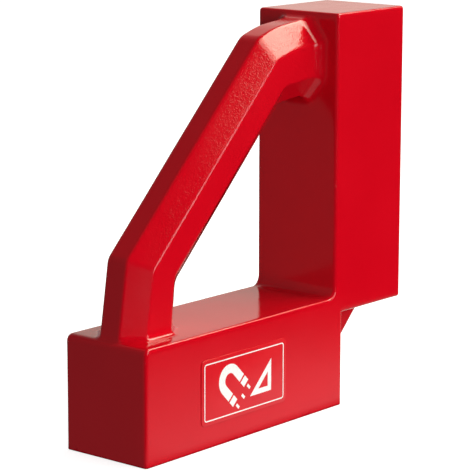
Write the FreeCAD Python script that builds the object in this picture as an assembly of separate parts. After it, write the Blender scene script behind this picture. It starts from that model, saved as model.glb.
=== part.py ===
"""Magnetic holding square: a cast L-shaped body with a diagonal handle, and a magnet pack in each arm.

The base arm lies along X on its working face, z = 0. The column stands at the +X end, and its
working face looks along +X. The thickness runs along Y, with the labelled front at -Y. The origin
is at the middle of the footprint of the whole square, on the base's working face. Millimetres.
"""

import FreeCAD
import Part
import math
import os

V = FreeCAD.Vector

# The L-shaped casting
THICKNESS = 45.0
OVERALL_LENGTH = 173.6
OVERALL_HEIGHT = 176.6
BASE_HEIGHT = 50.0
COLUMN_WIDTH = 48.2
NOTCH_LENGTH = 42.7
NOTCH_HEIGHT = 42.5
CAST_RADIUS = 1.5
END_RADIUS = 3.0
INNER_RADIUS = 4.5

# The web across the notch
WEB_THICKNESS = 20.0
WEB_LEG = 30.6

# The handle
HANDLE_WIDTH = 25.6
HANDLE_FLAT = 10.4
HANDLE_BEVEL_OUTER = 8.8
HANDLE_BEVEL_TOP = 10.2
HANDLE_BEVEL_INNER = 9.2
HANDLE_RIDGE_RADIUS = 1.6
HANDLE_BURIED = 6.0
BASE_ROOT_RADIUS = 3.0
COLUMN_ROOT_RADIUS = 5.5

# The handle's outer and inner lines, from the base's top to the column's inner face: a foot, the
# bends and an end. ALONG is measured along an arm from the inner corner, AWAY square to it.
OUTER_FOOT_ALONG = 123.0
OUTER_BEND_ALONG = 117.7
OUTER_BEND_AWAY = 33.1
OUTER_ARCH_ALONG = 121.4
OUTER_ARCH_AWAY = 21.6
OUTER_END_ALONG = 123.7
OUTER_RADII = (6.0, 10.0, 60.0)
INNER_FOOT_ALONG = 89.8
INNER_BEND_ALONG = 87.8
INNER_BEND_AWAY = 20.0
INNER_RADII = (8.0, 8.0)

# The pocket in each arm, open at the working face
POCKET_LENGTH = 112.0
POCKET_WIDTH = 33.0
POCKET_DEPTH = 30.0
POCKET_CORNER = 3.0

# The magnet pack in each pocket. DEEP is measured inward from the working face.
PACK_LENGTH = 108.0
POLE_THICKNESS = 5.0
POLE_SIDE_GAP = 0.5
PACK_DEEP = 27.0
MAGNET_COUNT = 4
MAGNET_TOP_DEEP = 3.0
END_SPACER = 10.0
MID_SPACER = 6.0

# Fasteners of the pack
RIVET_RADIUS = 2.0
RIVET_HEAD_RADIUS = 3.0
RIVET_HEAD_DEPTH = 1.5
RIVET_DEEP = 15.0
SCREW_RADIUS = 2.5
SCREW_HEAD_RADIUS = 4.6
SCREW_HEAD_DEPTH = 2.6
SCREW_END_DEEP = 42.0
SCREW_HOLE_DEEP = 43.5
SCREW_CLEARANCE = 0.05
SOCKET_ACROSS_FLATS = 3.0
SOCKET_DEPTH = 2.2

# The label plate on the front of the base arm, measured from the base's free end and from z = 0
LABEL_START = 34.2
LABEL_LENGTH = 56.0
LABEL_BOTTOM = 10.2
LABEL_HEIGHT = 28.4
LABEL_THICKNESS = 0.4
LABEL_CORNER = 1.5

# Places worked out from the dimensions above
FACE_X = OVERALL_LENGTH / 2
END_X = -OVERALL_LENGTH / 2
NOTCH_X = FACE_X - NOTCH_LENGTH
INNER_X = FACE_X - COLUMN_WIDTH
FRONT_Y = -THICKNESS / 2
BASE_PACK_X = (END_X + NOTCH_X) / 2
COLUMN_PACK_Z = (NOTCH_HEIGHT + OVERALL_HEIGHT) / 2
POLE_OUTER_Y = POCKET_WIDTH / 2 - POLE_SIDE_GAP
POLE_INNER_Y = POLE_OUTER_Y - POLE_THICKNESS
MAGNET_LENGTH = (PACK_LENGTH - 2 * END_SPACER - (MAGNET_COUNT - 1) * MID_SPACER) / MAGNET_COUNT
MAGNET_PITCH = MAGNET_LENGTH + MID_SPACER
END_SPACER_MIDDLE = (PACK_LENGTH - END_SPACER) / 2

# The corners of the handle's two lines, as (x, z), and how deep its outer bevels cut each leg
OUTER_CORNERS = (
    (INNER_X - OUTER_FOOT_ALONG, BASE_HEIGHT),
    (INNER_X - OUTER_BEND_ALONG, BASE_HEIGHT + OUTER_BEND_AWAY),
    (INNER_X - OUTER_BEND_AWAY, BASE_HEIGHT + OUTER_BEND_ALONG),
    (INNER_X - OUTER_ARCH_AWAY, BASE_HEIGHT + OUTER_ARCH_ALONG),
    (INNER_X, BASE_HEIGHT + OUTER_END_ALONG),
)
INNER_CORNERS = (
    (INNER_X - INNER_FOOT_ALONG, BASE_HEIGHT),
    (INNER_X - INNER_BEND_ALONG, BASE_HEIGHT + INNER_BEND_AWAY),
    (INNER_X - INNER_BEND_AWAY, BASE_HEIGHT + INNER_BEND_ALONG),
    (INNER_X, BASE_HEIGHT + INNER_FOOT_ALONG),
)
OUTER_BEVELS = (HANDLE_BEVEL_OUTER, HANDLE_BEVEL_OUTER, HANDLE_BEVEL_TOP, HANDLE_BEVEL_TOP)

# How far apart two places may be and still count as one, and the share of an axis that an edge's
# direction needs to count as running along it
TINY = 0.01
NEARLY_ONE = 0.99

# Turns the base pack, which is made about the origin with its working face down at z = 0, into
# its own place or into the column's, where the working face looks along +X.
TO_BASE = FreeCAD.Placement(V(BASE_PACK_X, 0, 0), FreeCAD.Rotation())
TO_COLUMN = FreeCAD.Placement(V(FACE_X, 0, COLUMN_PACK_Z), FreeCAD.Rotation(V(0, 1, 0), -90))


def block(x0, x1, y0, y1, z0, z1):
    """A box between two corners."""
    return Part.makeBox(x1 - x0, y1 - y0, z1 - z0, V(x0, y0, z0))


def prism_y(points_xz, y0, y1):
    """A solid with an outline in the XZ plane, from y0 to y1."""
    corners = [V(x, y0, z) for x, z in points_xz]
    return Part.Face(Part.makePolygon(corners + corners[:1])).extrude(V(0, y1 - y0, 0))


def rounded_slab(length, width, height, radius):
    """A slab about the origin in X and Y, from z = 0 up, with rounded upright corners."""
    slab = block(-length / 2, length / 2, -width / 2, width / 2, 0, height)
    upright = [e for e in slab.Edges if abs(e.tangentAt(e.FirstParameter).z) > NEARLY_ONE]
    return slab.makeFillet(radius, upright)


def runs_along_y(edge):
    """Whether a straight edge lies along Y."""
    straight = edge.Curve.TypeId == "Part::GeomLine"
    return straight and abs(edge.tangentAt(edge.FirstParameter).y) > NEARLY_ONE


def edges_along_y_at(shape, x, z):
    """The edges along Y that pass through a point of the XZ plane."""
    found = []
    for edge in shape.Edges:
        middle = edge.CenterOfMass
        if runs_along_y(edge) and math.hypot(middle.x - x, middle.z - z) < TINY:
            found.append(edge)
    return found


def touches_working_face(edge):
    """Whether an edge lies in the plane of one of the two machined faces."""
    box = edge.BoundBox
    return box.ZMax < TINY or box.XMin > FACE_X - TINY


def make_arms():
    """The base arm and the column as one L, with cast radii on all but the machined edges."""
    outline = [
        (END_X, 0), (NOTCH_X, 0), (NOTCH_X, NOTCH_HEIGHT), (FACE_X, NOTCH_HEIGHT),
        (FACE_X, OVERALL_HEIGHT), (INNER_X, OVERALL_HEIGHT),
        (INNER_X, BASE_HEIGHT), (END_X, BASE_HEIGHT),
    ]
    arms = prism_y(outline, FRONT_Y, -FRONT_Y)
    arms = arms.makeFillet(INNER_RADIUS, edges_along_y_at(arms, INNER_X, BASE_HEIGHT))
    arms = arms.makeFillet(END_RADIUS, edges_along_y_at(arms, END_X, BASE_HEIGHT))
    arms = arms.makeFillet(CAST_RADIUS, edges_along_y_at(arms, INNER_X, OVERALL_HEIGHT))
    flank = [e for e in arms.Edges if abs(abs(e.CenterOfMass.y) + FRONT_Y) < TINY]
    return arms.makeFillet(CAST_RADIUS, [e for e in flank if not touches_working_face(e)])


def make_web():
    """The web that ties the two arms together across the notch."""
    overlap = CAST_RADIUS
    corner_x = NOTCH_X - overlap
    corner_z = NOTCH_HEIGHT + overlap
    outline = [
        (corner_x, corner_z),
        (corner_x, NOTCH_HEIGHT - WEB_LEG),
        (NOTCH_X, NOTCH_HEIGHT - WEB_LEG),
        (NOTCH_X + WEB_LEG, NOTCH_HEIGHT),
        (NOTCH_X + WEB_LEG, corner_z),
    ]
    return prism_y(outline, -WEB_THICKNESS / 2, WEB_THICKNESS / 2)


def crossing(line, other):
    """Where two lines meet, each given by two of its points, as (x, z)."""
    (p, q), (r, s) = line, other
    dx1, dz1 = q[0] - p[0], q[1] - p[1]
    dx2, dz2 = s[0] - r[0], s[1] - r[1]
    t = ((r[0] - p[0]) * dz2 - (r[1] - p[1]) * dx2) / (dx1 * dz2 - dz1 * dx2)
    return p[0] + t * dx1, p[1] + t * dz1


def moved_line(p, q, right):
    """The line from p to q, moved to its right-hand side by a distance, in the XZ plane."""
    run = math.hypot(q[0] - p[0], q[1] - p[1])
    dx, dz = (q[1] - p[1]) / run * right, -(q[0] - p[0]) / run * right
    return (p[0] + dx, p[1] + dz), (q[0] + dx, q[1] + dz)


def handle_line(corners, inward):
    """The bends of one long line of the handle, whose ends are buried in the two arms.

    The legs are moved to the right of their run, which is towards the inner corner, by
    the distances in inward."""
    legs = [moved_line(p, q, away) for p, q, away in zip(corners, corners[1:], inward)]
    base_end = ((0, BASE_HEIGHT - HANDLE_BURIED), (1, BASE_HEIGHT - HANDLE_BURIED))
    column_end = ((INNER_X + HANDLE_BURIED, 0), (INNER_X + HANDLE_BURIED, 1))
    runs = [base_end] + legs + [column_end]
    return [crossing(run, after) for run, after in zip(runs, runs[1:])]


def rounded_line(corners, radii, y):
    """The edges of a line through the corners, with an arc of the given radius at each bend."""
    points = [V(x, y, z) for x, z in corners]
    edges, start = [], points[0]
    for before, corner, after, radius in zip(points, points[1:], points[2:], radii):
        back, on = (before - corner).normalize(), (after - corner).normalize()
        half_angle = back.getAngle(on) / 2
        middle = (back + on).normalize()
        centre = corner + middle * (radius / math.sin(half_angle))
        cut = radius / math.tan(half_angle)
        first, last = corner + back * cut, corner + on * cut
        edges.append(Part.makeLine(start, first))
        edges.append(Part.Arc(first, centre - middle * radius, last).toShape())
        start = last
    edges.append(Part.makeLine(start, points[-1]))
    return edges


def face_between(edges, others):
    """One flat face with two lines of edges as its long sides."""
    ends = [
        Part.makeLine(edges[0].Vertexes[0].Point, others[0].Vertexes[0].Point),
        Part.makeLine(edges[-1].Vertexes[-1].Point, others[-1].Vertexes[-1].Point),
    ]
    return Part.Face(Part.Wire(Part.__sortEdges__(edges + others + ends)))


def make_handle():
    """The handle: an octagonal bar with a leg on each arm and a straight grip between them."""
    outer, inner = handle_line(OUTER_CORNERS, [0] * 4), handle_line(INNER_CORNERS, [0] * 3)
    outer_side = handle_line(OUTER_CORNERS, OUTER_BEVELS)
    inner_side = handle_line(INNER_CORNERS, [-HANDLE_BEVEL_INNER] * 3)
    flat, half = HANDLE_FLAT / 2, HANDLE_WIDTH / 2
    around = [
        (outer, OUTER_RADII, -flat), (outer_side, OUTER_RADII, -half),
        (inner_side, INNER_RADII, -half), (inner, INNER_RADII, -flat),
        (inner, INNER_RADII, flat), (inner_side, INNER_RADII, half),
        (outer_side, OUTER_RADII, half), (outer, OUTER_RADII, flat),
    ]
    lines = [rounded_line(*line) for line in around]
    faces = []
    for line, after in zip(lines, lines[1:] + lines[:1]):
        if len(line) == len(after):
            faces += [Part.makeRuledSurface(edge, facing) for edge, facing in zip(line, after)]
        else:
            faces.append(face_between(line, after))
    for end in (0, -1):
        corners = [line[end].Vertexes[end].Point for line in lines]
        faces.append(Part.Face(Part.makePolygon(corners + corners[:1])))
    bar = Part.makeSolid(Part.makeShell(faces)).removeSplitter()
    ridges = [edge for edge in bar.Edges if is_ridge(edge, half, flat)]
    return bar.makeFillet(HANDLE_RIDGE_RADIUS, ridges).Solids[0]


def is_ridge(edge, *sides):
    """True for an edge that runs along the handle, at one of the given distances from its middle."""
    box = edge.BoundBox
    return box.YLength < TINY and any(abs(abs(box.Center.y) - side) < TINY for side in sides)


def cone_and_shank(base, direction, head_radius, head_depth, radius, length):
    """A countersunk pin: a conical head flush at its base, then a shank."""
    head = Part.makeCone(head_radius, radius, head_depth, base, direction)
    shank = Part.makeCylinder(radius, length, base, direction)
    return head.fuse(shank).removeSplitter()


def screw_blank(extra, end_deep):
    """The outside of one pack screw about the origin, larger all round by extra."""
    return cone_and_shank(
        V(0, 0, 0), V(0, 0, 1), SCREW_HEAD_RADIUS + extra, SCREW_HEAD_DEPTH, SCREW_RADIUS + extra, end_deep
    )


def at_both_ends(shape):
    """Copies of a shape at the middles of the two end spacers."""
    return [shape.translated(V(side * END_SPACER_MIDDLE, 0, 0)) for side in (-1, 1)]


def hexagonal_prism(across_flats, depth):
    """A hexagonal prism about the Z axis, from z = 0 up."""
    radius = across_flats / math.sqrt(3)
    angles = [math.radians(60 * i) for i in range(6)]
    corners = [V(radius * math.cos(angle), radius * math.sin(angle), 0) for angle in angles]
    return Part.Face(Part.makePolygon(corners + corners[:1])).extrude(V(0, 0, depth))


def make_screws():
    """Two countersunk socket screws, which hold the pack to the roof of its pocket."""
    socket = hexagonal_prism(SOCKET_ACROSS_FLATS, SOCKET_DEPTH)
    return Part.makeCompound(at_both_ends(screw_blank(0, SCREW_END_DEEP).cut(socket)))


def screw_holes():
    """The holes that the two screws pass through, countersunk at the working face."""
    return Part.makeCompound(at_both_ends(screw_blank(SCREW_CLEARANCE, SCREW_HOLE_DEEP)))


def mid_spacer_places():
    """Where the spacers between two magnets have their middles, along the arm."""
    return [(i - (MAGNET_COUNT - 2) / 2) * MAGNET_PITCH for i in range(MAGNET_COUNT - 1)]


def magnet_places():
    """Where the magnets have their middles, along the arm."""
    return [(i - (MAGNET_COUNT - 1) / 2) * MAGNET_PITCH for i in range(MAGNET_COUNT)]


def make_rivets():
    """Tie rivets across the pack, one through each spacer between two magnets."""
    rivets = []
    for x in mid_spacer_places():
        halves = []
        for side in (-1, 1):
            start = V(x, side * POLE_OUTER_Y, RIVET_DEEP)
            halves.append(cone_and_shank(
                start, V(0, -side, 0), RIVET_HEAD_RADIUS, RIVET_HEAD_DEPTH, RIVET_RADIUS, POLE_OUTER_Y
            ))
        rivets.append(halves[0].fuse(halves[1]).removeSplitter())
    return Part.makeCompound(rivets)


def make_pack():
    """Every piece of one magnet pack, with its working face down at z = 0 and its middle at x = 0."""
    half = PACK_LENGTH / 2
    rivets, holes = make_rivets(), screw_holes()
    pieces = {
        "front_pole": block(-half, half, -POLE_OUTER_Y, -POLE_INNER_Y, 0, PACK_DEEP).cut(rivets),
        "rear_pole": block(-half, half, POLE_INNER_Y, POLE_OUTER_Y, 0, PACK_DEEP).cut(rivets),
        "back_pad": block(-half, half, -POLE_OUTER_Y, POLE_OUTER_Y, PACK_DEEP, POCKET_DEPTH).cut(holes),
        "tie_rivets": rivets,
        "screws": make_screws(),
    }
    reach = MAGNET_LENGTH / 2
    for i, x in enumerate(magnet_places()):
        pieces["magnet_%d" % (i + 1)] = block(
            x - reach, x + reach, -POLE_INNER_Y, POLE_INNER_Y, MAGNET_TOP_DEEP, PACK_DEEP
        )
    for i, x in enumerate(mid_spacer_places()):
        spacer = block(x - MID_SPACER / 2, x + MID_SPACER / 2, -POLE_INNER_Y, POLE_INNER_Y, 0, PACK_DEEP)
        pieces["mid_spacer_%d" % (i + 1)] = spacer.cut(rivets)
    for name, side in (("left_spacer", -1), ("right_spacer", 1)):
        x = side * END_SPACER_MIDDLE
        spacer = block(x - END_SPACER / 2, x + END_SPACER / 2, -POLE_INNER_Y, POLE_INNER_Y, 0, PACK_DEEP)
        pieces[name] = spacer.cut(holes)
    pieces["magnet_seals"] = Part.makeCompound([
        block(x - reach, x + reach, -POLE_INNER_Y, POLE_INNER_Y, 0, MAGNET_TOP_DEEP)
        for x in magnet_places()
    ])
    pack_space = block(-half, half, -POLE_OUTER_Y, POLE_OUTER_Y, 0, POCKET_DEPTH)
    pieces["potting"] = make_pocket().cut(pack_space)
    return pieces


def make_pocket():
    """The hollow that one pack sits in."""
    return rounded_slab(POCKET_LENGTH, POCKET_WIDTH, POCKET_DEPTH, POCKET_CORNER)


def handle_root_edges(body, on_column):
    """The edges where the handle meets the column's inner face, or the base's top."""
    found = []
    for edge in body.Edges:
        box, middle = edge.BoundBox, edge.CenterOfMass
        if on_column:
            in_face = box.XMin > INNER_X - TINY and box.XMax < INNER_X + TINY
            along = middle.z - BASE_HEIGHT
        else:
            in_face = box.ZMin > BASE_HEIGHT - TINY and box.ZMax < BASE_HEIGHT + TINY
            along = INNER_X - middle.x
        if in_face and along > INNER_FOOT_ALONG - TINY and abs(middle.y) < HANDLE_WIDTH / 2 + TINY:
            found.append(edge)
    return found


def make_cast_body():
    """The whole casting, with its two pockets and the blind holes of the pack screws."""
    body = make_arms().fuse([make_web(), make_handle()]).removeSplitter()
    for on_column, radius in ((False, BASE_ROOT_RADIUS), (True, COLUMN_ROOT_RADIUS)):
        body = body.makeFillet(radius, handle_root_edges(body, on_column))
    hollow = [make_pocket()] + at_both_ends(
        Part.makeCylinder(SCREW_RADIUS + SCREW_CLEARANCE, SCREW_HOLE_DEEP)
    )
    for place in (TO_BASE, TO_COLUMN):
        for cutter in hollow:
            body = body.cut(placed(cutter, place))
    return body


def make_front_label():
    """The printed plate on the front of the base arm."""
    slab = rounded_slab(LABEL_LENGTH, LABEL_HEIGHT, LABEL_THICKNESS, LABEL_CORNER)
    slab.rotate(V(0, 0, 0), V(1, 0, 0), 90)
    x = END_X + LABEL_START + LABEL_LENGTH / 2
    return slab.translated(V(x, FRONT_Y, LABEL_BOTTOM + LABEL_HEIGHT / 2))


def placed(shape, placement):
    """A moved copy of a shape."""
    return shape.transformed(placement.toMatrix(), True)


def main():
    nodes = {"cast_body": make_cast_body(), "front_label": make_front_label()}
    for arm, place in (("base", TO_BASE), ("column", TO_COLUMN)):
        for name, shape in make_pack().items():
            nodes[arm + "_" + name] = placed(shape, place)
    os.makedirs("parts", exist_ok=True)
    for name, shape in nodes.items():
        if not shape.isValid():
            raise ValueError(name + " is not a valid shape")
        shape.exportStep("parts/" + name + ".step")
        print(name, len(shape.Solids), "solid(s)", round(shape.Volume / 1000, 2), "cm3")


main()
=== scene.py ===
"""A red enamelled magnetic holding square: the looks of its casting, label and two magnet packs."""
import math

import bmesh
import bpy
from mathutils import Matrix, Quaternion, Vector, noise


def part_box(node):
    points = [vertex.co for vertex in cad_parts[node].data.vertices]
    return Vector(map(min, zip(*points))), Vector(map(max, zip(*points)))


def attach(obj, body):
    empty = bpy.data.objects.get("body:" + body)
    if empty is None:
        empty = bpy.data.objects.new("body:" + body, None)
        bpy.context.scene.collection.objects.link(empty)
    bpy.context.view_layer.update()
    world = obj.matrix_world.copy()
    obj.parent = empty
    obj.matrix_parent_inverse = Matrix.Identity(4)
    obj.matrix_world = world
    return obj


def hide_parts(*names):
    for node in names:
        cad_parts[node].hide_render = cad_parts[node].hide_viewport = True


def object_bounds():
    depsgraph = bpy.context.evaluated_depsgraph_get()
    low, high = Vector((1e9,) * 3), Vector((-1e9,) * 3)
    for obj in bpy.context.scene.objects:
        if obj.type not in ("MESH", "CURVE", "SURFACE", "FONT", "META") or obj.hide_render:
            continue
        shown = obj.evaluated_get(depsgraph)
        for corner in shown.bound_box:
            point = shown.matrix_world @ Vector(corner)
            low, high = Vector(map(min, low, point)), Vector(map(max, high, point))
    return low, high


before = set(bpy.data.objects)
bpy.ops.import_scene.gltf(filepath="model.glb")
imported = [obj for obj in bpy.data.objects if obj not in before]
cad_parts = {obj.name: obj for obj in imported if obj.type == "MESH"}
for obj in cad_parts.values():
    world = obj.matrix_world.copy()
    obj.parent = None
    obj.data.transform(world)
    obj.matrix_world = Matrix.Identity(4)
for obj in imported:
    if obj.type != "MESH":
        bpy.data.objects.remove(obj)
CAD_LOW, CAD_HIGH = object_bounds()
CAD_MIDDLE = (CAD_LOW + CAD_HIGH) / 2

MM = 0.001
ARMS = ("base", "column")

# The view: the camera's angles, its distance, the place it aims at, and its lens.
VIEW_AZIMUTH = -50.03
VIEW_ELEVATION = 11.23
VIEW_ROLL = 0.15
VIEW_DISTANCE = 971.5 * MM
VIEW_TARGET = Vector((-4.06 * MM, 0, 82.13 * MM))
SENSOR_WIDTH = 36.0
LENS = 171.4

# The table top, which only the camera sees.
FLOOR_RADIUS = 12.0
FLOOR_SIDES = 96
FLOOR_TOP = CAD_LOW.z - 0.05 * MM
FLOOR_GLOW = 0.85

# The light that the table throws back: a fading glow in front of the object, and an even one
# beyond the column, which the rounded lower edges mirror.
FRONT_GLOW = 0.65
FRONT_GLOW_REACH = 150 * MM
FRONT_GLOW_EDGE = 30 * MM
FRONT_GLOW_ONSET = 8 * MM
SIDE_GLOW = 1.5
SIDE_GLOW_COLOUR = (1.0, 0.80, 0.72, 1.0)
SIDE_GLOW_LENGTH = 190 * MM
SIDE_GLOW_WIDTH = 120 * MM
SIDE_GLOW_SETBACK = 12 * MM

# How bright the dim surroundings are to the left and behind, and which way behind is.
LEFT_GLOW = 0.14
BACK_GLOW = 0.40
BEHIND = (0.75, 0.66, 0)

# The lights' colours, and how far they stand from the object's middle, in metres.
WHITE = (1, 1, 1)
KEY_COLOUR = (1, 0.96, 0.76)
BACKDROP_COLOUR = (1, 0.78, 0.56)
KEY_DISTANCE, FILL_DISTANCE, BACKDROP_DISTANCE = 1.6, 1.8, 2.2

# The casting's skin: how fine its mesh is, and how deep its swells and ripples go.
SKIN_VOXEL = 0.6 * MM
SKIN_TRIANGLES = 190000
MACHINED_FADE = 3.0 * MM
SWELL_SIZE, SWELL_DEPTH = 24 * MM, 0.12 * MM
RIPPLE_SIZE, RIPPLE_DEPTH = 7 * MM, 0.03 * MM

# The enamel's surface: orange peel, and the sand's grain, at full depth only on the handle.
PEEL_SIZE, PEEL_DEPTH = 3.2 * MM, 0.030 * MM
SPOT_SIZE, SOFT_SIZE = 0.8 * MM, 1.8 * MM
SOFT_SHARE = 2.0
GRAIN_DEPTH = 0.044 * MM
BLOCK_GRAIN = 0.17
HANDLE_DULLING = 0.08

# The places between which the handle's grain comes in, along X, then Z, then away from the middle.
OFF_COLUMN = (40 * MM, 30 * MM)
OFF_UPPER_LEG = (16 * MM, -4 * MM)
DULLED_FROM = (18 * MM, 2 * MM)
ONTO_FOOT = (-42 * MM, -54 * MM)
FOOT_ABOVE_BASE = (50 * MM, 54 * MM)
ABOVE_BASE = (50 * MM, 60 * MM)
UP_THE_RUN = (88 * MM, 142 * MM)
TOWARDS_RIDGE = (6 * MM, 11 * MM)

# How much of the grain each of them brings, or leaves.
UPPER_LEG_GRAIN = 0.6
LOW_GRAIN, HIGH_GRAIN, FOOT_GRAIN = 0.25, 0.75, 0.30
MIDDLE_GRAIN = 0.35

# How far the enamel's ragged edge stands back from a ground face.
GROUND_EDGE = (0.05 * MM, 0.35 * MM)

# The label's plate and the frame printed on it. The plate takes PLATE_SHARE of the thickness.
PLATE_CORNER = 2.2 * MM
PLATE_SHARE = 0.85
PLATE_SUNK = 0.25 * MM
PLATE_EDGE = 0.12 * MM
BEVEL_ANGLE = math.radians(50)
SHARP_ANGLE = math.radians(40)
FRAME_INSET, FRAME_LINE, FRAME_CORNER = 1.7 * MM, 0.5 * MM, 1.4 * MM

# The two signs, whose size is a share of the plate's height. The rest are shares of that size.
SIGN_SIZE = 0.50
MAGNET_LEFT, MAGNET_UP = 0.62, 0.12
MAGNET_TILT = 45
SQUARE_RIGHT, SQUARE_LINE = 1.25, 0.16
BOW_STEPS = 20


# ---------------------------------------------------------------- node helpers

def new_material(name):
    """A material, its node tree and its Principled shader."""
    material = bpy.data.materials.new(name)
    material.use_nodes = True
    tree = material.node_tree
    return material, tree, tree.nodes["Principled BSDF"]


def add(tree, kind, inputs=(), **settings):
    """A new node with its settings, and with a value or a link for each named input."""
    node = tree.nodes.new(kind)
    for key, value in settings.items():
        setattr(node, key, value)
    for key, value in dict(inputs).items():
        if isinstance(value, bpy.types.NodeSocket):
            tree.links.new(value, node.inputs[key])
        else:
            node.inputs[key].default_value = value
    return node


def place(tree, scale=(1, 1, 1)):
    """Object coordinates in metres, stretched by scale."""
    coordinates = add(tree, "ShaderNodeTexCoord").outputs["Object"]
    return add(tree, "ShaderNodeMapping", {"Vector": coordinates, "Scale": scale}).outputs["Vector"]


def noise_at(tree, size, detail=2.0, roughness=0.5, scale=(1, 1, 1)):
    """Noise whose blobs are about size metres across."""
    inputs = {"Vector": place(tree, scale), "Scale": 1 / size, "Detail": detail, "Roughness": roughness}
    return add(tree, "ShaderNodeTexNoise", inputs).outputs["Fac"]


def spread(tree, value, low, high, to_low=0.0, to_high=1.0):
    """value's span low..high carried to the span to_low..to_high, and held there."""
    inputs = {"Value": value, "From Min": low, "From Max": high, "To Min": to_low, "To Max": to_high}
    return add(tree, "ShaderNodeMapRange", inputs).outputs["Result"]


def calculate(tree, operation, a, b=0.0):
    """One arithmetic operation on one or two values."""
    return add(tree, "ShaderNodeMath", {0: a, 1: b}, operation=operation).outputs[0]


def mix_colour(tree, share, a, b):
    """Colour a where share is 0 and b where it is 1."""
    return add(tree, "ShaderNodeMix", {0: share, 6: a, 7: b}, data_type="RGBA").outputs[2]


def mix_value(tree, share, a, b):
    """Value a where share is 0 and b where it is 1."""
    return add(tree, "ShaderNodeMix", {0: share, 2: a, 3: b}).outputs[0]


def bump(tree, height, distance, normal=None):
    """A surface normal from a height field whose full step is distance metres."""
    inputs = {"Height": height, "Distance": distance, "Strength": 1.0}
    if normal is not None:
        inputs["Normal"] = normal
    return add(tree, "ShaderNodeBump", inputs).outputs["Normal"]


def feed(tree, socket, value):
    """Links the output called value to a shader's socket."""
    tree.links.new(value, socket)


# ---------------------------------------------------------------- materials

def handle_share(tree):
    """How coarse the sand left the skin: none on the blocks, some on the foot, most on the upper run."""
    split = add(tree, "ShaderNodeSeparateXYZ", {0: place(tree)})
    x, z = split.outputs["X"], split.outputs["Z"]
    left_of_column = spread(tree, x, *OFF_COLUMN)
    slanted_run = spread(tree, x, *OFF_UPPER_LEG, UPPER_LEG_GRAIN, 1)
    above_base = spread(tree, z, *ABOVE_BASE, 0, LOW_GRAIN)
    upper_run = spread(tree, z, *UP_THE_RUN, 0, HIGH_GRAIN)
    off_middle = calculate(tree, "ABSOLUTE", split.outputs["Y"])
    by_ridge = spread(tree, off_middle, *TOWARDS_RIDGE, MIDDLE_GRAIN, 1)
    foot = spread(tree, x, *ONTO_FOOT, 0, FOOT_GRAIN)
    foot = calculate(tree, "MULTIPLY", foot, spread(tree, z, *FOOT_ABOVE_BASE))
    coarse = calculate(tree, "ADD", calculate(tree, "ADD", above_base, upper_run), foot)
    coarse = calculate(tree, "MULTIPLY", slanted_run, coarse)
    coarse = calculate(tree, "MULTIPLY", coarse, by_ridge)
    return calculate(tree, "MULTIPLY", left_of_column, coarse)


def ground_share(tree):
    """1 on the two working faces, where the enamel is ground away to a slightly ragged edge."""
    split = add(tree, "ShaderNodeSeparateXYZ", {0: place(tree)})
    ragged = spread(tree, noise_at(tree, 2.5 * MM, 3), 0.3, 0.7, *GROUND_EDGE)
    above_foot = calculate(tree, "SUBTRACT", split.outputs["Z"], CAD_LOW.z)
    under = calculate(tree, "LESS_THAN", above_foot, ragged)
    inside_face = calculate(tree, "SUBTRACT", CAD_HIGH.x, split.outputs["X"])
    beside = calculate(tree, "LESS_THAN", inside_face, ragged)
    return calculate(tree, "MAXIMUM", under, beside)


def enamel_material():
    """Gloss red enamel over a sand casting: orange peel, casting grain, darker pores, and painted shade
    in the hollows.
    """
    material, tree, shader = new_material("red_enamel")
    drift = spread(tree, noise_at(tree, 45 * MM, 2), 0.3, 0.7)
    red = mix_colour(tree, drift, (0.600, 0.0019, 0.0100, 1), (0.640, 0.0027, 0.0118, 1))
    pores = spread(tree, noise_at(tree, 1.1 * MM, 3), 0.62, 0.74)
    red = mix_colour(tree, calculate(tree, "MULTIPLY", pores, 0.10), red, (0.30, 0.002, 0.006, 1))
    # Painted shade: the red is darkened where the surface curves inwards, in hollows and creases where
    # shade falls.
    edge = add(tree, "ShaderNodeNewGeometry").outputs["Pointiness"]
    painted_shade_in_hollows = spread(tree, edge, 0.44, 0.49, 1, 0)
    red = mix_colour(tree, calculate(tree, "MULTIPLY", painted_shade_in_hollows, 0.45), red, (0.33, 0.002, 0.007, 1))
    ground = ground_share(tree)
    lines, metal = ground_metal_colour(tree, (0.44, 0.44, 0.45, 1), (0.66, 0.66, 0.67, 1))
    feed(tree, shader.inputs["Base Color"], mix_colour(tree, ground, red, metal))
    feed(tree, shader.inputs["Metallic"], ground)
    gloss = spread(tree, noise_at(tree, 9 * MM, 3), 0.3, 0.7, 0.07, 0.13)
    split = add(tree, "ShaderNodeSeparateXYZ", {0: place(tree)})
    handle = handle_share(tree)
    dulled = spread(tree, split.outputs["X"], *DULLED_FROM, 0, HANDLE_DULLING)
    gloss = calculate(tree, "ADD", gloss, calculate(tree, "MULTIPLY", dulled, handle))
    rubbed = spread(tree, lines, 0.3, 0.7, 0.28, 0.45)
    feed(tree, shader.inputs["Roughness"], mix_value(tree, ground, gloss, rubbed))
    peel = bump(tree, noise_at(tree, PEEL_SIZE, 2), PEEL_DEPTH)
    grain_height = mix_value(tree, handle, BLOCK_GRAIN, 1.0)
    spots = spread(tree, noise_at(tree, SPOT_SIZE, 2), 0.45, 0.75)
    soft = calculate(tree, "MULTIPLY", noise_at(tree, SOFT_SIZE, 2), SOFT_SHARE)
    grain = calculate(tree, "MULTIPLY", calculate(tree, "ADD", spots, soft), grain_height)
    feed(tree, shader.inputs["Normal"], bump(tree, grain, GRAIN_DEPTH, peel))
    return material


def ground_metal_colour(tree, base, light):
    """Fine grinding lines across a flat face, and the metal's colour between base and light."""
    lines = noise_at(tree, 0.9 * MM, 4, 0.65, (1.6, 0.05, 1.6))
    return lines, mix_colour(tree, spread(tree, lines, 0.35, 0.65), base, light)


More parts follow.
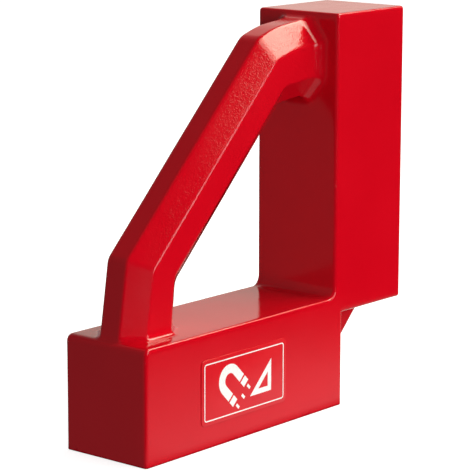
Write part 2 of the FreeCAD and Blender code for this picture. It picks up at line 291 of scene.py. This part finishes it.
def steel_material():
    """Ground mild steel with grinding lines and faint oxide clouds."""
    material, tree, shader = new_material("ground_steel")
    lines, colour = ground_metal_colour(tree, (0.36, 0.36, 0.37, 1), (0.58, 0.58, 0.59, 1))
    clouds = spread(tree, noise_at(tree, 14 * MM, 4), 0.55, 0.8)
    colour = mix_colour(tree, calculate(tree, "MULTIPLY", clouds, 0.4), colour, (0.27, 0.22, 0.18, 1))
    feed(tree, shader.inputs["Base Color"], colour)
    shader.inputs["Metallic"].default_value = 1.0
    feed(tree, shader.inputs["Roughness"], spread(tree, lines, 0.3, 0.7, 0.24, 0.42))
    feed(tree, shader.inputs["Normal"], bump(tree, lines, 0.012 * MM))
    return material


def brass_material():
    """Cut brass, ground flush, with a dull tarnish."""
    material, tree, shader = new_material("cut_brass")
    lines, colour = ground_metal_colour(tree, (0.62, 0.42, 0.16, 1), (0.80, 0.60, 0.28, 1))
    tarnish = spread(tree, noise_at(tree, 6 * MM, 4), 0.5, 0.75)
    colour = mix_colour(tree, calculate(tree, "MULTIPLY", tarnish, 0.45), colour, (0.33, 0.20, 0.07, 1))
    feed(tree, shader.inputs["Base Color"], colour)
    shader.inputs["Metallic"].default_value = 1.0
    feed(tree, shader.inputs["Roughness"], spread(tree, lines, 0.3, 0.7, 0.26, 0.45))
    feed(tree, shader.inputs["Normal"], bump(tree, lines, 0.012 * MM))
    return material


def ferrite_material():
    """Sintered ferrite: near black, fine grained and slightly shiny."""
    material, tree, shader = new_material("sintered_ferrite")
    grain = noise_at(tree, 0.5 * MM, 4, 0.7)
    shine = spread(tree, grain, 0.35, 0.7)
    colour = mix_colour(tree, shine, (0.018, 0.018, 0.020, 1), (0.055, 0.055, 0.058, 1))
    feed(tree, shader.inputs["Base Color"], colour)
    feed(tree, shader.inputs["Roughness"], spread(tree, grain, 0.3, 0.7, 0.42, 0.62))
    feed(tree, shader.inputs["Normal"], bump(tree, grain, 0.03 * MM))
    return material


def resin_material():
    """Dark potting resin with pale specks and an uneven sheen."""
    material, tree, shader = new_material("potting_resin")
    specks = noise_at(tree, 0.8 * MM, 3, 0.6)
    dust = spread(tree, specks, 0.4, 0.75)
    colour = mix_colour(tree, dust, (0.016, 0.015, 0.016, 1), (0.050, 0.046, 0.044, 1))
    feed(tree, shader.inputs["Base Color"], colour)
    feed(tree, shader.inputs["Roughness"], spread(tree, noise_at(tree, 5 * MM, 3), 0.3, 0.7, 0.30, 0.50))
    feed(tree, shader.inputs["Normal"], bump(tree, specks, 0.02 * MM))
    return material


def fibre_material():
    """Pressed vulcanised fibre, brown and felted."""
    material, tree, shader = new_material("pressed_fibre")
    felt = noise_at(tree, 1.2 * MM, 5, 0.7, (1, 0.3, 1))
    colour = mix_colour(tree, spread(tree, felt, 0.3, 0.7), (0.16, 0.08, 0.04, 1), (0.30, 0.17, 0.09, 1))
    feed(tree, shader.inputs["Base Color"], colour)
    shader.inputs["Roughness"].default_value = 0.85
    feed(tree, shader.inputs["Normal"], bump(tree, felt, 0.05 * MM))
    return material


def screw_material():
    """Black oxidised steel, rubbed brighter in patches."""
    material, tree, shader = new_material("blackened_steel")
    rub = spread(tree, noise_at(tree, 2.0 * MM, 4), 0.45, 0.75)
    colour = mix_colour(tree, rub, (0.075, 0.075, 0.080, 1), (0.24, 0.24, 0.25, 1))
    feed(tree, shader.inputs["Base Color"], colour)
    shader.inputs["Metallic"].default_value = 1.0
    feed(tree, shader.inputs["Roughness"], spread(tree, rub, 0, 1, 0.45, 0.30))
    feed(tree, shader.inputs["Normal"], bump(tree, noise_at(tree, 0.4 * MM, 2), 0.01 * MM))
    return material


def label_red_material():
    """The label's printed red: smooth film with a faint print mottle."""
    material, tree, shader = new_material("label_red")
    mottle = spread(tree, noise_at(tree, 9 * MM, 3), 0.3, 0.7)
    colour = mix_colour(tree, mottle, (0.64, 0.010, 0.018, 1), (0.67, 0.014, 0.022, 1))
    feed(tree, shader.inputs["Base Color"], colour)
    feed(tree, shader.inputs["Roughness"], spread(tree, mottle, 0, 1, 0.16, 0.22))
    feed(tree, shader.inputs["Normal"], bump(tree, noise_at(tree, 5 * MM, 2), 0.008 * MM))
    return material


def label_white_material():
    """White screen-print ink, slightly uneven in cover."""
    material, tree, shader = new_material("label_white")
    cover = spread(tree, noise_at(tree, 0.7 * MM, 3), 0.3, 0.6)
    colour = mix_colour(tree, cover, (0.84, 0.80, 0.79, 1), (0.93, 0.93, 0.92, 1))
    feed(tree, shader.inputs["Base Color"], colour)
    shader.inputs["Roughness"].default_value = 0.35
    feed(tree, shader.inputs["Normal"], bump(tree, cover, 0.004 * MM))
    return material


def clear_glow(name):
    """A material that shines but is itself clear, its tree, and the shader that sets its light."""
    material, tree, shader = new_material(name)
    light = add(tree, "ShaderNodeEmission")
    clear = add(tree, "ShaderNodeBsdfTransparent").outputs[0]
    both = add(tree, "ShaderNodeAddShader", {0: light.outputs[0], 1: clear}).outputs[0]
    tree.nodes.remove(shader)
    tree.links.new(both, tree.nodes["Material Output"].inputs["Surface"])
    return material, tree, light


def front_glow_material():
    """White light that fades away from the foot of the object's front, and at its own ends."""
    material, tree, light = clear_glow("table_glow")
    split = add(tree, "ShaderNodeSeparateXYZ", {0: place(tree)})
    x, y = split.outputs["X"], split.outputs["Y"]
    onset = spread(tree, y, CAD_LOW.y, CAD_LOW.y - FRONT_GLOW_ONSET)
    fade = spread(tree, y, CAD_LOW.y, CAD_LOW.y - FRONT_GLOW_REACH, FRONT_GLOW, 0)
    from_left = spread(tree, x, CAD_LOW.x - FRONT_GLOW_EDGE, CAD_LOW.x + FRONT_GLOW_EDGE)
    from_right = spread(tree, x, CAD_HIGH.x + FRONT_GLOW_REACH, CAD_HIGH.x)
    strength = calculate(tree, "MULTIPLY", onset, fade)
    strength = calculate(tree, "MULTIPLY", strength, from_left)
    strength = calculate(tree, "MULTIPLY", strength, from_right)
    feed(tree, light.inputs["Strength"], strength)
    return material


def side_glow_material():
    """Even, faintly warm light."""
    material, _, light = clear_glow("side_glow")
    light.inputs["Color"].default_value = SIDE_GLOW_COLOUR
    light.inputs["Strength"].default_value = SIDE_GLOW
    return material


def floor_material():
    """A plain white table that glows a little, so that it stays pale under soft light."""
    material, tree, shader = new_material("pale_floor")
    shader.inputs["Base Color"].default_value = (0.50, 0.50, 0.50, 1)
    shader.inputs["Roughness"].default_value = 0.9
    shader.inputs["Specular IOR Level"].default_value = 0.0
    shader.inputs["Emission Color"].default_value = (1, 1, 1, 1)
    shader.inputs["Emission Strength"].default_value = FLOOR_GLOW
    return material


# ---------------------------------------------------------------- pieces

def put(obj):
    """Links an object into the scene and returns it."""
    bpy.context.scene.collection.objects.link(obj)
    return obj


def baked_mesh(obj, name):
    """obj's mesh with its modifiers applied, under a name of its own."""
    graph = bpy.context.evaluated_depsgraph_get()
    mesh = bpy.data.meshes.new_from_object(obj.evaluated_get(graph))
    mesh.name = name
    return mesh


def skin_depth(point):
    """How far the cast skin lies under the drawn surface at a point. It is nothing at a ground face."""
    swell = 0.5 + 0.5 * noise.noise(point / SWELL_SIZE)
    ripple = 0.5 + 0.5 * noise.noise(point / RIPPLE_SIZE)
    from_ground = min(point.z - CAD_LOW.z, CAD_HIGH.x - point.x)
    share = min(max(from_ground / MACHINED_FADE, 0), 1)
    return share * (SWELL_DEPTH * swell + RIPPLE_DEPTH * ripple)


def make_casting():
    """The enamelled casting: an even mesh laid on the CAD surface, with the swells of a sand casting."""
    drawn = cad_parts["cast_body"]
    casting = put(bpy.data.objects.new("enamelled_casting", drawn.data.copy()))
    even = casting.modifiers.new("even", "REMESH")
    even.mode = "VOXEL"
    even.voxel_size = SKIN_VOXEL
    casting.modifiers.new("onto_drawn", "SHRINKWRAP").target = drawn
    mesh = baked_mesh(casting, "enamelled_casting")
    normals = [vertex.normal.copy() for vertex in mesh.vertices]
    for vertex, normal in zip(mesh.vertices, normals):
        vertex.co -= normal * skin_depth(vertex.co)
    casting.modifiers.clear()
    casting.data = mesh
    thin = casting.modifiers.new("thin", "DECIMATE")
    thin.ratio = min(1, SKIN_TRIANGLES / (2 * len(mesh.polygons)))
    casting.data = baked_mesh(casting, "enamelled_casting")
    casting.modifiers.clear()
    casting.data.shade_smooth()
    casting.data.materials.clear()
    casting.data.materials.append(enamel_material())
    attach(casting, "root")
    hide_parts("cast_body")


def corner_points(x, z, radius, start, turn=90, steps=6):
    """Points on an arc about (x, z), through turn degrees from start, anticlockwise from +X."""
    angles = [math.radians(start + turn * i / steps) for i in range(steps + 1)]
    return [(x + radius * math.cos(angle), z + radius * math.sin(angle)) for angle in angles]


def rounded_outline(x0, z0, x1, z1, radius):
    """A rectangle's outline with round corners, anticlockwise."""
    centres = ((x1 - radius, z1 - radius), (x0 + radius, z1 - radius))
    centres += ((x0 + radius, z0 + radius), (x1 - radius, z0 + radius))
    corners = [corner_points(x, z, radius, 90 * i) for i, (x, z) in enumerate(centres)]
    return [point for corner in corners for point in corner]


def add_slab(shape, outline, back, front):
    """A closed slab in a bmesh, from an anticlockwise XZ outline and its two Y places."""
    far = [shape.verts.new((x, back, z)) for x, z in outline]
    near = [shape.verts.new((x, front, z)) for x, z in outline]
    shape.faces.new(near)
    shape.faces.new(list(reversed(far)))
    for i in range(len(outline)):
        j = (i + 1) % len(outline)
        shape.faces.new((far[i], far[j], near[j], near[i]))


def add_frame(shape, outer, inner, back, front):
    """A closed ring in a bmesh, between two outlines with as many points."""
    lines = ((outer, front), (inner, front), (inner, back), (outer, back))
    rings = [[shape.verts.new((x, y, z)) for x, z in line] for line, y in lines]
    for ring, after in zip(rings, rings[1:] + rings[:1]):
        for i in range(len(outer)):
            j = (i + 1) % len(outer)
            shape.faces.new((ring[i], ring[j], after[j], after[i]))


def turned(outline, degrees, x, z):
    """An outline turned anticlockwise about its origin and carried to (x, z)."""
    along, across = math.cos(math.radians(degrees)), math.sin(math.radians(degrees))
    return [(x + along * u - across * v, z + across * u + along * v) for u, v in outline]


def bar(x0, z0, x1, z1):
    """A rectangle's outline, anticlockwise."""
    return [(x0, z0), (x1, z0), (x1, z1), (x0, z1)]


def magnet_sign(size):
    """A horseshoe magnet open downwards: its bow, its two tips set apart, and three strokes of pull."""
    outer, inner, top = 0.5 * size, 0.22 * size, 0.10 * size
    tip, tip_top, foot = -0.60 * size, -0.38 * size, -0.31 * size
    bow = corner_points(0, top, outer, 0, 180, BOW_STEPS) + [(-outer, foot), (-inner, foot)]
    bow += corner_points(0, top, inner, 180, -180, BOW_STEPS) + [(inner, foot), (outer, foot)]
    tips = [bar(-outer, tip, -inner, tip_top), bar(inner, tip, outer, tip_top)]
    thin, low, high, apart = 0.045 * size, -0.86 * size, -0.69 * size, 0.36 * size
    strokes = [bar(x - thin, low, x + thin, high) for x in (-apart, 0, apart)]
    return [bow] + tips + strokes


def set_square_sign(x, z, size, line):
    """Outer and inner outline of a set square's triangle, its right angle low on the right, at (x, z)."""
    far = size - line * (1 + math.sqrt(2))
    outer = [(x, z), (x, z + size), (x - size, z)]
    inner = [(x - line, z + line), (x - line, z + far), (x - far, z + line)]
    return outer, inner


def finished(shape, name, material, edge=0.0):
    """A rigid piece on the root body, from a bmesh, with its edges bevelled by edge."""
    bmesh.ops.recalc_face_normals(shape, faces=shape.faces)
    mesh = bpy.data.meshes.new(name)
    shape.to_mesh(mesh)
    shape.free()
    piece = put(bpy.data.objects.new(name, mesh))
    if edge:
        bevel = piece.modifiers.new("edge", "BEVEL")
        bevel.width = edge
        bevel.segments = 3
        bevel.angle_limit = BEVEL_ANGLE
        piece.data = baked_mesh(piece, name)
        piece.modifiers.clear()
    piece.data.materials.append(material)
    piece.data.shade_smooth()
    piece.data.set_sharp_from_angle(angle=SHARP_ANGLE)
    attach(piece, "root")
    return piece


def plate_outline(low, high, inset, corner):
    """The plate's rectangle drawn in by inset, with corners of that radius."""
    return rounded_outline(low.x + inset, low.z + inset, high.x - inset, high.z - inset, corner)


def make_plate(low, high, face):
    """The label's thin red plate, whose back lies a little inside the casting."""
    plate = bmesh.new()
    add_slab(plate, plate_outline(low, high, 0, PLATE_CORNER), high.y + PLATE_SUNK, face)
    piece = finished(plate, "label_plate", label_red_material(), PLATE_EDGE)
    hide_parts("front_label")


def make_print(low, high, face):
    """The label's white print: a frame round a tilted horseshoe magnet and a set square."""
    ink = bmesh.new()
    outer = plate_outline(low, high, FRAME_INSET, FRAME_CORNER)
    inner = plate_outline(low, high, FRAME_INSET + FRAME_LINE, FRAME_CORNER - FRAME_LINE)
    add_frame(ink, outer, inner, face, low.y)
    middle_x, middle_z = (low.x + high.x) / 2, (low.z + high.z) / 2
    size = SIGN_SIZE * (high.z - low.z)
    magnet_x, magnet_z = middle_x - MAGNET_LEFT * size, middle_z + MAGNET_UP * size
    for outline in magnet_sign(size):
        add_slab(ink, turned(outline, MAGNET_TILT, magnet_x, magnet_z), face, low.y)
    square_x, square_z = middle_x + SQUARE_RIGHT * size, middle_z - size / 2
    add_frame(ink, *set_square_sign(square_x, square_z, size, SQUARE_LINE * size), face, low.y)
    finished(ink, "label_print", label_white_material())


def make_label():
    """The front label: its plate takes most of the CAD label's thickness, and its print the rest."""
    low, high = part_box("front_label")
    face = high.y + (low.y - high.y) * PLATE_SHARE
    make_plate(low, high, face)
    make_print(low, high, face)


def dress(node, material):
    """Gives every slot of a carried-over CAD node one material."""
    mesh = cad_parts[node].data
    mesh.materials.clear()
    mesh.materials.append(material)


def dress_packs():
    """The finish of each piece of both magnet packs, by the first of these words in its name."""
    steel, brass, ferrite = steel_material(), brass_material(), ferrite_material()
    resin, fibre, screws = resin_material(), fibre_material(), screw_material()
    finish_of = {"pole": steel, "rivets": steel, "magnet_seals": resin, "magnet": ferrite}
    finish_of.update({"spacer": brass, "screws": screws, "back_pad": fibre, "potting": resin})
    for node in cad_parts:
        for word, material in finish_of.items():
            if node.startswith(ARMS) and word in node:
                dress(node, material)
                break


# ---------------------------------------------------------------- stage

def add_area_light(name, direction, distance, size, radiance, colour=WHITE, in_gloss=True):
    """A soft light of that size and radiance, in the given direction from the object's middle."""
    light = bpy.data.lights.new(name, "AREA")
    light.shape = "RECTANGLE"
    light.size, light.size_y = size
    light.color = colour
    light.energy = radiance * math.pi * size[0] * size[1]
    obj = put(bpy.data.objects.new(name, light))
    towards = Vector(direction).normalized()
    obj.location = CAD_MIDDLE + towards * distance
    obj.rotation_mode = "QUATERNION"
    obj.rotation_quaternion = towards.to_track_quat("Z", "Y")
    obj.visible_camera = False
    obj.visible_glossy = in_gloss


def add_lights():
    """A bright key box with a dimmer wing, soft fills all round, and a warm backdrop."""
    add_area_light("key_box", (0.57, -0.32, 0.755), KEY_DISTANCE, (1.20, 0.56), 9.4, KEY_COLOUR)
    add_area_light("wing_box", (0.17, -0.61, 0.775), KEY_DISTANCE, (0.50, 0.56), 4.2, KEY_COLOUR)
    add_area_light("front_box", (0.25, -0.94, 0.26), FILL_DISTANCE, (1.0, 1.0), 3.9)
    add_area_light("left_fill", (-0.53, -0.85, 0.05), FILL_DISTANCE, (1.0, 1.0), 5.3, in_gloss=False)
    add_area_light("back_fill", (0.15, 0.95, 0.27), FILL_DISTANCE, (1.2, 1.0), 3.0, in_gloss=False)
    add_area_light("right_fill", (0.93, 0.30, 0.22), FILL_DISTANCE, (1.0, 1.0), 2.4, in_gloss=False)
    add_area_light("backdrop", (0.754, 0.628, 0.42), BACKDROP_DISTANCE, (1.4, 1.6), 0.38, BACKDROP_COLOUR)


def add_surroundings():
    """A dark world with a dim glow to the left and another behind, above the horizon."""
    world = bpy.data.worlds.new("surroundings")
    world.use_nodes = True
    tree = world.node_tree
    background = tree.nodes["Background"]
    background.inputs["Color"].default_value = (*WHITE, 1)
    towards = add(tree, "ShaderNodeTexCoord").outputs["Generated"]
    split = add(tree, "ShaderNodeSeparateXYZ", {0: towards})
    x, y, z = split.outputs["X"], split.outputs["Y"], split.outputs["Z"]
    left_part = spread(tree, x, -0.1, -0.4, 0, LEFT_GLOW)
    left_part = calculate(tree, "MULTIPLY", left_part, spread(tree, y, -0.4, 0.2))
    left_part = calculate(tree, "MULTIPLY", left_part, spread(tree, z, -0.7, -0.4))
    behind = add(tree, "ShaderNodeVectorMath", {0: towards, 1: BEHIND}, operation="DOT_PRODUCT")
    back_part = spread(tree, behind.outputs["Value"], 0.2, 0.8, 0, BACK_GLOW)
    back_part = calculate(tree, "MULTIPLY", back_part, spread(tree, z, -0.15, 0.05))
    feed(tree, background.inputs["Strength"], calculate(tree, "ADD", left_part, back_part))
    bpy.context.scene.world = world


def add_flat(name, corners, material):
    """A flat stage piece with the given corners."""
    mesh = bpy.data.meshes.new(name)
    mesh.from_pydata(corners, [], [range(len(corners))])
    mesh.materials.append(material)
    flat = put(bpy.data.objects.new(name, mesh))
    return flat


def add_floor():
    """A wide white table top that only the camera sees, so that it throws no light of its own."""
    turns = [math.radians(360 * i / FLOOR_SIDES) for i in range(FLOOR_SIDES)]
    rim = [(FLOOR_RADIUS * math.cos(turn), FLOOR_RADIUS * math.sin(turn), FLOOR_TOP) for turn in turns]
    floor = add_flat("floor", rim, floor_material())
    floor.visible_glossy = False
    floor.visible_diffuse = False
    floor.visible_shadow = False


def add_glow(name, x0, x1, y0, y1, material):
    """A flat glow just above the table, between two corners, which the camera doesn't see."""
    height = (FLOOR_TOP + CAD_LOW.z) / 2
    corners = [(x0, y0, height), (x1, y0, height), (x1, y1, height), (x0, y1, height)]
    glow = add_flat(name, corners, material)
    glow.visible_camera = False
    glow.visible_shadow = False
    return glow


def add_table_light():
    """What the table throws back: a glow in front of the object and one beside the column."""
    left, right = CAD_LOW.x - FRONT_GLOW_EDGE, CAD_HIGH.x + FRONT_GLOW_REACH
    near, far = CAD_LOW.y - FRONT_GLOW_REACH, CAD_LOW.y
    add_glow("table_glow", left, right, near, far, front_glow_material())
    left, right = CAD_HIGH.x, CAD_HIGH.x + SIDE_GLOW_LENGTH
    near = CAD_LOW.y + SIDE_GLOW_SETBACK
    side = add_glow("side_glow", left, right, near, near + SIDE_GLOW_WIDTH, side_glow_material())
    side.visible_diffuse = False


def add_camera():
    """The camera, at its azimuth, elevation, distance and roll about the target."""
    azimuth, elevation = math.radians(VIEW_AZIMUTH), math.radians(VIEW_ELEVATION)
    level = math.cos(elevation)
    back = Vector((math.sin(azimuth) * level, -math.cos(azimuth) * level, math.sin(elevation)))
    camera = put(bpy.data.objects.new("camera", bpy.data.cameras.new("camera")))
    camera.data.sensor_width = SENSOR_WIDTH
    camera.data.lens = LENS
    camera.location = VIEW_TARGET + back * VIEW_DISTANCE
    camera.rotation_mode = "QUATERNION"
    roll = Quaternion((0, 0, 1), math.radians(VIEW_ROLL))
    camera.rotation_quaternion = (-back).to_track_quat("-Z", "Y") @ roll
    bpy.context.scene.camera = camera


bpy.context.scene.view_settings.view_transform = "Standard"
add_camera()
add_lights()
add_surroundings()
add_floor()
add_table_light()
make_casting()
make_label()
dress_packs()
